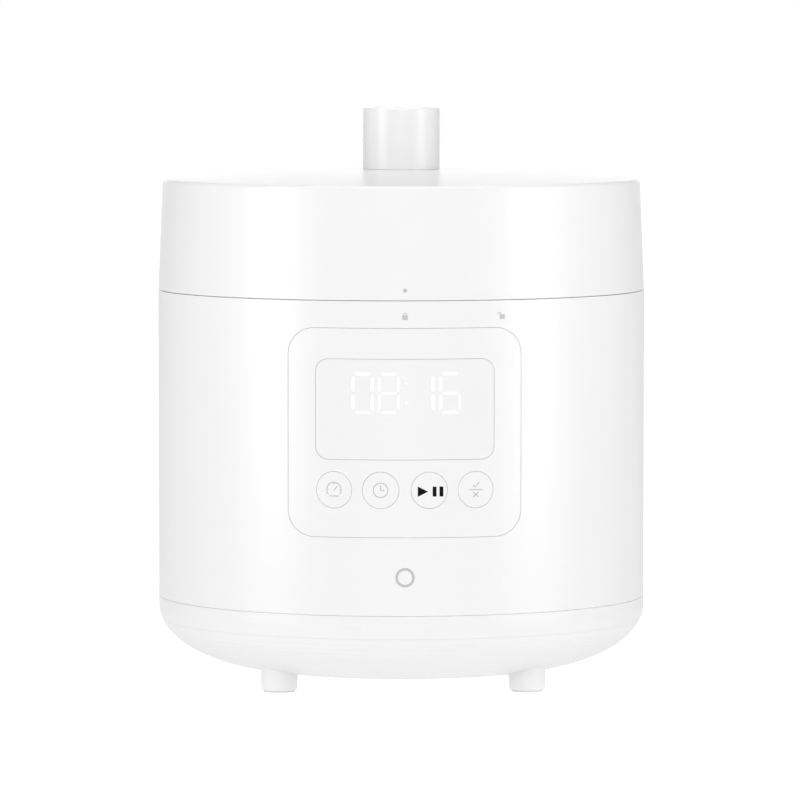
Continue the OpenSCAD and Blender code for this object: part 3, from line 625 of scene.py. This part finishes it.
switch_top = -box("key_switches")[0][1]
for key, (at, z) in key_at.items():
    cap, flange_r = Surface(), wall_r - 4.6
    plate(cap, wall_r, flange_r + 0.9, [(circle(KEY_R, z, 96), at, 1, EDGE_BEVEL)])
    plate(cap, flange_r + 1, flange_r, [(circle(KEY_FLANGE, z, 72), at, 1, 0.15)])
    stem_low = switch_top / math.cos(at) + KEY_TRAVEL + 0.3 + STEM_R * math.sin(abs(at))
    plate(cap, flange_r + 0.1, min(stem_low, flange_r - 0.1), [(circle(STEM_R, z, 24), at, 1, 0)])
    cap.mesh(key + "_cap", key, finishes["key_white"], "key_white", [key])


# ---- The lid ----------------------------------------------------------------------------------

cover_low, cover_high = box("lid_cover")
COVER_WALL, RIM_LEAN, RIM_ROUND, CROWN_RISE = 2.4, 2.0, 1.8, 4.6
cover_r = cover_high[0]
crown_r = cover_r - RIM_LEAN - RIM_ROUND
HUB_R = 15.0
rim_z = cover_high[2] - CROWN_RISE * (1 - (HUB_R / crown_r) ** 2)
float_at, float_r = (box("float_valve")[0][1] + box("float_valve")[1][1]) / 2, 3.2
FLOAT_STEPS, FLOAT_BEVEL = 48, 0.3
POST_AT, POST_R, BOSS_AT, BOSS_R, SCREW_R = 60.0, 4.0, cover_r - 5.3, 2.95, 1.5


def crown(r):
    return rim_z + CROWN_RISE * (1 - (r / crown_r) ** 2)


def on_crown(drop, sign):
    """Where a point of the crowned top or its underside lies."""
    def where(x, y):
        r = math.hypot(x, y)
        lean = 2 * CROWN_RISE / crown_r ** 2
        return (x, y, crown(r) - drop), tuple(sign * c for c in unit((lean * x, lean * y, 1.0)))
    return where


def crown_station(r, drop=0.0, sign=1):
    (_, _, z), (nx, _, nz) = on_crown(drop, sign)(r, 0.0)
    return (r, z), (nx, nz)


cover = Surface()
BREAKS = (60.0, 20.0)
wall_low = cover_low[2] - SEAM_LESS
side = fillet([(cover_r - COVER_WALL, wall_low + 5, 0), (cover_r - COVER_WALL, wall_low, 0.3),
               (cover_r, wall_low, 0.3), (cover_r - RIM_LEAN, rim_z, RIM_ROUND),
               (crown_r - 2, crown(crown_r - 2), 0)], closed=False)[:-1]
side += [crown_station(r) for r in (crown_r - 2, 105, 98, 90, 80, 70, BREAKS[0])]
lathe(cover, side, closed=False)
hub = [crown_station(BREAKS[1])]
hub += fillet([(BREAKS[1], crown(BREAKS[1]), 0), (HUB_R, crown(HUB_R), 0.4),
               (HUB_R, crown(HUB_R) - COVER_WALL, 0.2), (BREAKS[1], crown(BREAKS[1]) - COVER_WALL, 0)],
              closed=False)[1:-1]
hub += [crown_station(BREAKS[1], COVER_WALL, -1)]
lathe(cover, hub, closed=False)
under = [crown_station(r, COVER_WALL, -1) for r in (BREAKS[0], 75, 90, 100, 107)]
under += fillet([(107, crown(107) - COVER_WALL, 0),
                 (cover_r - RIM_LEAN - COVER_WALL - 0.1, rim_z - COVER_WALL, 2.0),
                 (cover_r - COVER_WALL, wall_low + 5, 0)], closed=False)[1:]
lathe(cover, under, closed=False)
hole = {}
for sign, drop in ((1, 0.0), (-1, COVER_WALL)):
    where = on_crown(drop, sign)
    loops = [[(*point[:2], point, normal) for point, normal in ring(crown_station(r, drop, sign))]
             for r in BREAKS]
    bevel = FLOAT_BEVEL if sign == 1 else 0.0
    edge = []
    for k in range(FLOAT_STEPS):
        away = facing(2 * math.pi * k / FLOAT_STEPS)
        x, y = (float_r + bevel) * away[0], float_at + (float_r + bevel) * away[1]
        edge.append((x, y, *where(x, y)))
    loops.append(edge)
    hole[sign] = edge
    fill(cover, loops, (5.0, 5.0), where)
walls = [[(point, normal) for _, _, point, normal in hole[1]]]
for depth in (FLOAT_BEVEL, COVER_WALL):
    level = []
    for k in range(FLOAT_STEPS):
        away = facing(2 * math.pi * k / FLOAT_STEPS)
        x, y = float_r * away[0], float_at + float_r * away[1]
        level.append(((x, y, crown(math.hypot(x, y)) - depth), (-away[0], -away[1], 0.0)))
    walls.append(level)
for lower, upper in zip(walls, walls[1:]):
    cover.strip(lower, upper)
plate_top = box("steel_lid")[1][2]
for k in range(4):
    a = math.pi / 4 + math.pi / 2 * k
    for r, high, low, width, bore in ((POST_AT, crown(POST_AT) - COVER_WALL + 0.5, plate_top, POST_R, 0.0),
                                      (BOSS_AT, cover_low[2] + 19.7, cover_low[2] + 3.7, BOSS_R, SCREW_R)):
        centre = (r * math.cos(a), r * math.sin(a))
        post = fillet([(bore, low, 0), (width, low, 0.3), (width, high, 0), (bore, high, 0)])
        lathe(cover, post, steps=32, centre=centre)
cover.mesh("lid_shell", "lid", finishes["gloss_white"], "gloss_white", ["lid_cover"])


# ---- The knob and its button ------------------------------------------------------------------

knob_low, knob_high = (corner[2] for corner in box("knob_shell"))
knob_r = box("knob_shell")[1][0]
KNOB_WALL, KNOB_LIP, KNOB_SKIRT = 2.6, 2.4, 0.95
button_low, button_high = (corner[2] for corner in box("release_button"))
BUTTON_R, LEG_X, LEG_R = 13.1, 10.5, 1.6

knob = Surface()
knob_in = knob_r - KNOB_WALL
skirt_low = crown(knob_r) + 0.05
slot_z = knob_high - 12.5
barrel(knob,
       [(knob_r, knob_high - 4, 0), (knob_r, knob_high, 0.7), (BUTTON_R + 0.3, knob_high, 0.35),
        (BUTTON_R + 0.3, knob_high - KNOB_LIP, 0.2), (knob_in, knob_high - KNOB_LIP, 0),
        (knob_in, knob_high - 4, 0)],
       [(knob_in, knob_low + 2, 0), (knob_in, knob_low, 0.1), (knob_r - KNOB_SKIRT, knob_low, 0),
        (knob_r - KNOB_SKIRT, skirt_low, 0.1), (knob_r, skirt_low, 0.15), (knob_r, knob_low + 3, 0)],
       [(rounded(1.8, 13.0, 0.4, slot_z, 1.0, 3.0, 5), math.pi + math.radians(16 * i), 0.15)
        for i in range(-2, 3)],
       steps=144, rise=5.0)
knob.mesh("knob_tube", "lid", finishes["gloss_white"], "gloss_white", ["knob_shell"])

button = Surface()
DISH = 0.4
button_edge = fillet([(0, button_high - 1.5, 0), (BUTTON_R - 1.6, button_high - 1.5, 0.3),
                      (BUTTON_R - 1.6, button_high - 4.6, 0), (BUTTON_R + 1.4, button_high - 4.6, 0.2),
                      (BUTTON_R + 1.4, button_high - 2.8, 0.2), (BUTTON_R, button_high - 2.8, 0.2),
                      (BUTTON_R, button_high, 0.5), (BUTTON_R - 1.5, button_high, 0)], closed=False)
for k in range(1, 13):
    r = (BUTTON_R - 1.5) * (1 - k / 12)
    share = r / (BUTTON_R - 1.5)
    lean = -2 * DISH * share * (1 - share ** 2) * 2 / (BUTTON_R - 1.5)
    button_edge.append(((r, button_high - DISH * (1 - share ** 2) ** 2), unit((lean, 1.0))))
lathe(button, button_edge, closed=False, steps=144)
leg_z = button_low + LEG_R
leg = [((LEG_R * math.sin(a), leg_z - LEG_R * math.cos(a)), (math.sin(a), -math.cos(a)))
       for a in [math.pi / 2 * k / 6 for k in range(7)]]
leg.append(((LEG_R, button_high - 1.2), (1.0, 0.0)))
lathe(button, leg, closed=False, steps=32, centre=(LEG_X, 0))
button.mesh("button_cap", "button", finishes["gloss_white"], "gloss_white", ["release_button"])


# ---- Springs, coiled from round wire ------------------------------------------------------------

# Name, CAD node, joint, wire radius, turns and body
SPRINGS = (("button_coil", "button_spring", "button_press", 0.32, 8, "lid"),
           ("sensor_coil", "sensor_spring", "sensor_press", 0.42, 6, "cooker"))
for name, node, joint, wire, turns, body in SPRINGS:
    low, high = box(node)
    centre = ((low[0] + high[0]) / 2, (low[1] + high[1]) / 2)
    spring = Surface()
    coil(spring, centre, (high[0] - low[0]) / 2 - wire, wire, low[2], high[2], turns)
    made = spring.mesh(name, body, finishes["spring_steel"], "spring_steel", [node])
    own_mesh(made)


# ---- The base ring and the feet, which end inside the curved underside ---------------------------

FLAT_R, EDGE_W, EDGE_H, RING_WALL, BAND_GAP = 56.3, 59.7, 30.3, 2.2, 0.08
edge_z = box("base_bowl")[0][2] + EDGE_H


def bowl(r):
    """Height of the rounded underside."""
    return edge_z - EDGE_H * math.sqrt(1 - (max(0.0, r - FLAT_R) / EDGE_W) ** 2)


def edge_above(z, inset=0.0, steps=8):
    """Stations of the rounded lower edge, from height z up to the wall."""
    wide, tall = EDGE_W - inset, EDGE_H - inset
    first = math.acos((edge_z - z) / tall)
    stations = []
    for k in range(steps + 1):
        a = first + (math.pi / 2 - first) * k / steps
        stations.append(((FLAT_R + wide * math.sin(a), edge_z - tall * math.cos(a)),
                         unit((math.sin(a) / wide, -math.cos(a) / tall))))
    return stations


base = Surface()
ring_low, ring_top = box("base_ring")[0][2] - 0.15, shell_low - BAND_GAP
SHOULDER, TONGUE_IN, TONGUE = 1.1, 2.4, 2.0
outside, within = edge_above(ring_low), edge_above(ring_low, RING_WALL)
tongue_r = wall_r - TONGUE_IN
base_profile = [(outside[0][0], (0.0, -1.0))] + outside
base_profile += fillet([(wall_r, edge_z, 0), (wall_r, ring_top, 0.15), (wall_r - SHOULDER, ring_top, 0),
                        (wall_r - SHOULDER, shell_low, 0), (tongue_r, shell_low, 0),
                        (tongue_r, shell_low + 2.4, 0.3), (tongue_r - TONGUE, shell_low + 2.4, 0.3),
                        (tongue_r - TONGUE, edge_z + 1.5, 0),
                        (within[-1][0][0], edge_z, 0)], closed=False)
base_profile += [(point, (-out, -up)) for point, (out, up) in reversed(within)]
base_profile.append((within[0][0], (0.0, -1.0)))
lathe(base, base_profile)
base.mesh("base_band", "cooker", finishes["gloss_white"], "gloss_white", ["base_ring"])


feet = Surface()
FOOT_R, FOOT_LOW, PAD_R, PAD_H = 8.45, 0.8, 7.4, 1.8
foot_at = math.hypot(*[box("foot_pads")[1][0] - PAD_R] * 2)
for k in range(4):
    a = math.pi / 4 + math.pi / 2 * k
    centre = (foot_at * math.cos(a), foot_at * math.sin(a))
    profile = fillet([(0, PAD_H, 0), (PAD_R, PAD_H, 0), (PAD_R, FOOT_LOW, 0.2), (FOOT_R, FOOT_LOW, 0.9),
                      (FOOT_R + 0.25, 5.8, 0)], closed=False)
    lathe(feet, profile, closed=False, steps=96, centre=centre)
    lower = ring(profile[-1], 96, centre)
    upper = [((x + nx * 0.1, y + ny * 0.1, bowl(math.hypot(x, y)) + 0.6), (nx, ny, nz))
             for (x, y, _), (nx, ny, nz) in lower]
    feet.strip(lower, upper)
    feet.cap(upper, (0.0, 0.0, 1.0))
feet.mesh("foot_cones", "cooker", finishes["gloss_white"], "gloss_white", ["feet"])


# ---- The pot and the seal, with rounded edges ---------------------------------------------------

pot_low, pot_high = box("inner_pot")
POT_RIM, POT_LIP, POT_WALL, POT_FLOOR, POT_CORNER = pot_high[0], 2.0, 2.0, 3.0, 12.0
pot_r = POT_RIM - 4.3
pot = Surface()
pot_top = pot_high[2]
pot_profile = [(0, pot_low[2] + 0.3, 0), (pot_r - POT_CORNER - 8, pot_low[2] + 0.3, 0.2),
               (pot_r - POT_CORNER - 6, pot_low[2], 0.2), (pot_r, pot_low[2], POT_CORNER),
               (pot_r, pot_top - POT_LIP, 0.6), (POT_RIM, pot_top - POT_LIP, 0.7), (POT_RIM, pot_top, 0.9),
               (pot_r - POT_WALL, pot_top, 1.1)]
for z in (pot_low[2] + 72, pot_low[2] + 48, pot_low[2] + 24):
    pot_profile += [(pot_r - POT_WALL, z + 0.5, 0.2), (pot_r - POT_WALL + 0.25, z, 0.2),
                    (pot_r - POT_WALL, z - 0.5, 0.2)]
pot_profile += [(pot_r - POT_WALL, pot_low[2] + POT_FLOOR, POT_CORNER - POT_WALL),
                (0, pot_low[2] + POT_FLOOR, 0)]
lathe(pot, fillet(pot_profile, closed=False), closed=False)
pot.mesh("cooking_pot", "pot", finishes["pot_coating"], "pot_coating", ["inner_pot"])

seal_high = box("sealing_ring")[1]
seal_r, seal_z = seal_high[0] - 3.1, seal_high[2] - 11.3
seal = Surface()
seal_points = ((3.1, 11.3), (-4.6, 11.3), (-4.6, 10.2), (-1.4, 10.2), (-0.6, 9.4), (-0.6, 7.7),
               (-1.6, 6.9), (-5.6, 7.6), (-7.4, 7.8), (-7.4, 6.8), (-6.0, 5.7), (-2.0, 4.0),
               (-2.0, 1.9), (-1.2, 1.1), (2.3, 1.1), (3.1, 1.9))
lathe(seal, fillet([(seal_r + r, seal_z + z, 0.25) for r, z in seal_points]))
seal.mesh("lid_gasket", "seal", finishes["silicone"], "silicone", ["sealing_ring"])


# ---- Prints and lit segments, all generic -------------------------------------------------------

def band(outer, inner, start, end, steps=24):
    """Part of a flat ring, between two angles in degrees."""
    turns = [math.radians(start + (end - start) * k / steps) for k in range(steps + 1)]
    return ([(outer * math.cos(a), outer * math.sin(a)) for a in turns]
            + [(inner * math.cos(a), inner * math.sin(a)) for a in reversed(turns)])


def stroke(x0, z0, x1, z1, width):
    """A straight line of some width."""
    length = math.hypot(x1 - x0, z1 - z0)
    nx, nz = (z0 - z1) / length * width / 2, (x1 - x0) / length * width / 2
    return [(x0 + nx, z0 + nz), (x0 - nx, z0 - nz), (x1 - nx, z1 - nz), (x1 + nx, z1 + nz)]


def printed(name, body, material, r, z, at, shapes, holes=(), proud=0.014):
    """Raises flat shapes a hair above a round wall. Each hole belongs to the first shape."""
    surface = Surface()
    for i, points in enumerate(shapes):
        edges = [(straight(points, z), at, 1, 0)]
        if i == 0:
            edges += [(straight(cut, z), at, -1, 0) for cut in holes]
        plate(surface, r + proud, r - 0.03, edges, spacing=(1.5, 1.5))
    return surface.mesh(name, body, material)


def round_points(radius, steps=48):
    return [(radius * math.cos(2 * math.pi * k / steps), radius * math.sin(2 * math.pi * k / steps))
            for k in range(steps)]


LABEL = 0.5
for key in ("key_pressure", "key_timer"):
    at, z = key_at[key]
    shapes = [round_points(3.6)]
    if key == "key_pressure":
        shapes = [band(3.7, 3.7 - LABEL, -35, 215), stroke(0, -0.4, 1.7, 1.8, LABEL),
                  stroke(-2.4, -2.9, 2.4, -2.9, LABEL)]
        shapes += [stroke(2.5 * math.cos(a), 2.5 * math.sin(a), 3.1 * math.cos(a), 3.1 * math.sin(a), LABEL)
                   for a in [math.radians(d) for d in (0, 90, 180)]]
        printed(key + "_icon", key, print_grey, wall_r, z, at, shapes)
    else:
        shapes += [stroke(0, -0.2, 0, 2.3, LABEL), stroke(0.1, 0, 1.7, 0, LABEL)]
        printed(key + "_icon", key, print_grey, wall_r, z, at, shapes, [round_points(3.6 - LABEL)])
at, z = key_at["key_select"]
printed("key_select_icon", "key_select", print_grey, wall_r, z, at,
        [stroke(-3.3, 0, 3.3, 0, LABEL), stroke(-1.5, 2.2, -0.3, 1.2, LABEL),
         stroke(-0.45, 1.2, 1.7, 3.5, LABEL), stroke(-1.3, -3.5, 1.3, -1.1, LABEL),
         stroke(-1.3, -1.1, 1.3, -3.5, LABEL)])
at, z = key_at["key_start"]
printed("key_start_icon", "key_start", print_black, wall_r, z, at,
        [[(-5.4, -3.0), (-0.6, -0.6), (-5.4, 1.8)], [(1.5, -2.9), (3.3, -2.9), (3.3, 1.7), (1.5, 1.7)],
         [(4.7, -2.9), (6.5, -2.9), (6.5, 1.7), (4.7, 1.7)]])

DIGIT_W, DIGIT_H, BAR, THICK, DIGIT_RISE = 10.0, 18.9, 1.25, 1.15, 18.45


def segments(x, lit):
    """The lit segments of one digit: a at the top, then clockwise to f, and g in the middle."""
    w, h = DIGIT_W / 2, DIGIT_H / 2
    flat = [(-w + 1.35, h), (-w + 2.0, h - THICK), (w - 2.0, h - THICK), (w - 1.35, h)]
    tall = [(w, h - 2.2), (w - 0.3, h - 1.7), (w - BAR, h - 2.4), (w - BAR, 1.6), (w - 0.9, 0.75), (w, 1.1)]
    waist = [(-w + 1.3, 0.0), (-w + 2.0, THICK / 2), (w - 2.0, THICK / 2), (w - 1.3, 0.0),
             (w - 2.0, -THICK / 2), (-w + 2.0, -THICK / 2)]
    forms = {"a": flat, "d": [(px, -pz) for px, pz in flat], "b": tall, "c": [(px, -pz) for px, pz in tall],
             "f": [(-px, pz) for px, pz in tall], "e": [(-px, -pz) for px, pz in tall], "g": waist}
    return [[(x + px, pz) for px, pz in forms[name]] for name in lit]


digit_z = panel_z + DIGIT_RISE
lit = segments(-19.55, "abcdef") + segments(-7.45, "abcdefg") + segments(8.6, "bc") + segments(20.9, "acdefg")
lit += [[(0.55 + px, pz + dz) for px, pz in round_points(0.62, 24)] for dz in (4.65, -4.45)]
printed("display_digits", "cooker", lit_white, wall_r - GLASS_SINK, digit_z, 0, lit)

MARK_DROP, MARK_R, MARK_LINE, LOCK_RISE, LOCK_TURN = 67.0, 4.5, 1.2, 54.1, math.radians(22.9)
printed("wall_mark", "cooker", print_mark, wall_r, panel_z - MARK_DROP, 0, [round_points(MARK_R)],
        [round_points(MARK_R - MARK_LINE)])
printed("lid_dot", "lid", print_mark, cover_r - RIM_LEAN * 0.1, wall_low + 4.6, 0,
        [round_points(0.95, 24)], proud=0.06)
for name, at, shift in (("lock_closed", 0.0, 0.0), ("lock_open", LOCK_TURN, -1.5)):
    shackle = [(px + shift, pz + 0.55) for px, pz in band(0.95, 0.5, -20, 200, 12)]
    printed(name, "cooker", print_grey, wall_r, panel_z + LOCK_RISE, at,
            [[(-1.3, -1.75), (1.3, -1.75), (1.3, 0.45), (-1.3, 0.45)], shackle])


# ---- Floor, light and camera ----------------------------------------------------------------------

def aim(obj, place, target):
    obj.location = place
    obj.rotation_euler = (Vector(target) - Vector(place)).to_track_quat("-Z", "Y").to_euler()


def softbox(name, place, target, width, height, watts):
    lamp = bpy.data.lights.new(name, "AREA")
    lamp.shape = "RECTANGLE"
    lamp.size, lamp.size_y = width, height
    lamp.energy = watts
    made = bpy.data.objects.new(name, lamp)
    made.visible_camera = False
    bpy.context.scene.collection.objects.link(made)
    aim(made, place, target)


floor_mesh = bpy.data.meshes.new("floor")
REACH, UNDER = 9.0, -0.0004
floor_mesh.from_pydata([(x * REACH, y * REACH, UNDER) for x, y in ((-1, -1), (1, -1), (1, 1), (-1, 1))],
                       [], [(0, 1, 2, 3)])
floor_finish = finish("floor", (0.36, 0.36, 0.36), 0.9, mottle=0.004, mottle_scale=3.0,
                      Emission_Color=(1, 1, 1, 1))
floor_tree = floor_finish.node_tree
spot = scaled(floor_tree, (1, 1, 1))
across = add(floor_tree, "ShaderNodeSeparateXYZ", {0: spot}).outputs[0]
beside = add(floor_tree, "ShaderNodeMath", {0: across}, operation="ABSOLUTE").outputs[0]
away = add(floor_tree, "ShaderNodeVectorMath", {0: spot}, operation="LENGTH").outputs["Value"]
glow = add(floor_tree, "ShaderNodeMath", {0: spread(floor_tree, beside, 0.78, 0.55, 0.05, 0.26),
                                          1: spread(floor_tree, away, 0.85, 1.0, 0.12, 0.40)},
           operation="MULTIPLY").outputs[0]
straight_on = add(floor_tree, "ShaderNodeLightPath").outputs["Is Camera Ray"]
floor_tree.links.new(spread(floor_tree, straight_on, glow, 0.95, 0.0, 1.0),
                     floor_tree.nodes["Principled BSDF"].inputs["Emission Strength"])
floor_mesh.materials.append(floor_finish)
floor = bpy.data.objects.new("floor", floor_mesh)
bpy.context.scene.collection.objects.link(floor)

scene = bpy.context.scene
scene.view_settings.view_transform = "Standard"
world = bpy.data.worlds.new("studio")
scene.world = world
world.use_nodes = True
sky = world.node_tree
sky.nodes["Background"].inputs["Color"].default_value = (1, 1, 1, 1)
toward = add(sky, "ShaderNodeSeparateXYZ", {0: add(sky, "ShaderNodeTexCoord").outputs["Generated"]}).outputs
low_glow = spread(sky, toward[2], 0.93, 0.27, 0.10, 0.40)
flags = add(sky, "ShaderNodeMath", {0: spread(sky, toward[1], 0.0, 0.70, 0.0, 0.55),
                                    1: spread(sky, toward[1], 1.0, 0.0, 0.91, 0.97)},
            operation="MULTIPLY").outputs[0]
unflagged = add(sky, "ShaderNodeMath", {0: 1.0, 1: flags}, operation="SUBTRACT").outputs[0]
back_panel = spread(sky, toward[1], 0.0, 0.75, 0.91, 0.97)
studio = add(sky, "ShaderNodeMath", {0: low_glow, 1: unflagged, 2: back_panel},
             operation="MULTIPLY_ADD").outputs[0]
sky.links.new(studio, sky.nodes["Background"].inputs["Strength"])
seen = add(sky, "ShaderNodeBackground", {"Color": (1, 1, 1, 1), "Strength": 1.0})
pick = add(sky, "ShaderNodeMixShader", {0: add(sky, "ShaderNodeLightPath").outputs["Is Camera Ray"],
                                        1: sky.nodes["Background"].outputs[0], 2: seen.outputs[0]})
sky.links.new(pick.outputs[0], sky.nodes["World Output"].inputs["Surface"])

SIDE, STRIP_AT, STRIP_Z = math.radians(60), 0.8, 0.45
for name, sign in (("strip_left", -1), ("strip_right", 1)):
    softbox(name, (sign * STRIP_AT * math.sin(SIDE), -STRIP_AT * math.cos(SIDE), STRIP_Z), (0, 0, STRIP_Z),
            0.36, 0.9, 2.25)
softbox("top_box", (0, 0.2, 2.4), (0, 0, 0.15), 2.2, 2.2, 32)
softbox("front_fill", (0, -2.4, 1.3), (0, 0, 0.15), 1.8, 0.8, 10.8)

AXIS_X, AWAY, EYE_Z, AIM_Z = -0.0006, 3.342, 0.353, 0.1337
YAW = math.radians(0.85)
lens_data = bpy.data.cameras.new("camera")
lens_data.lens, lens_data.sensor_width = 315.0, 36.0
camera = bpy.data.objects.new("camera", lens_data)
scene.collection.objects.link(camera)
aim(camera, (AXIS_X - AWAY * math.sin(YAW), -AWAY * math.cos(YAW), EYE_Z), (AXIS_X, 0, AIM_Z))
scene.camera = camera
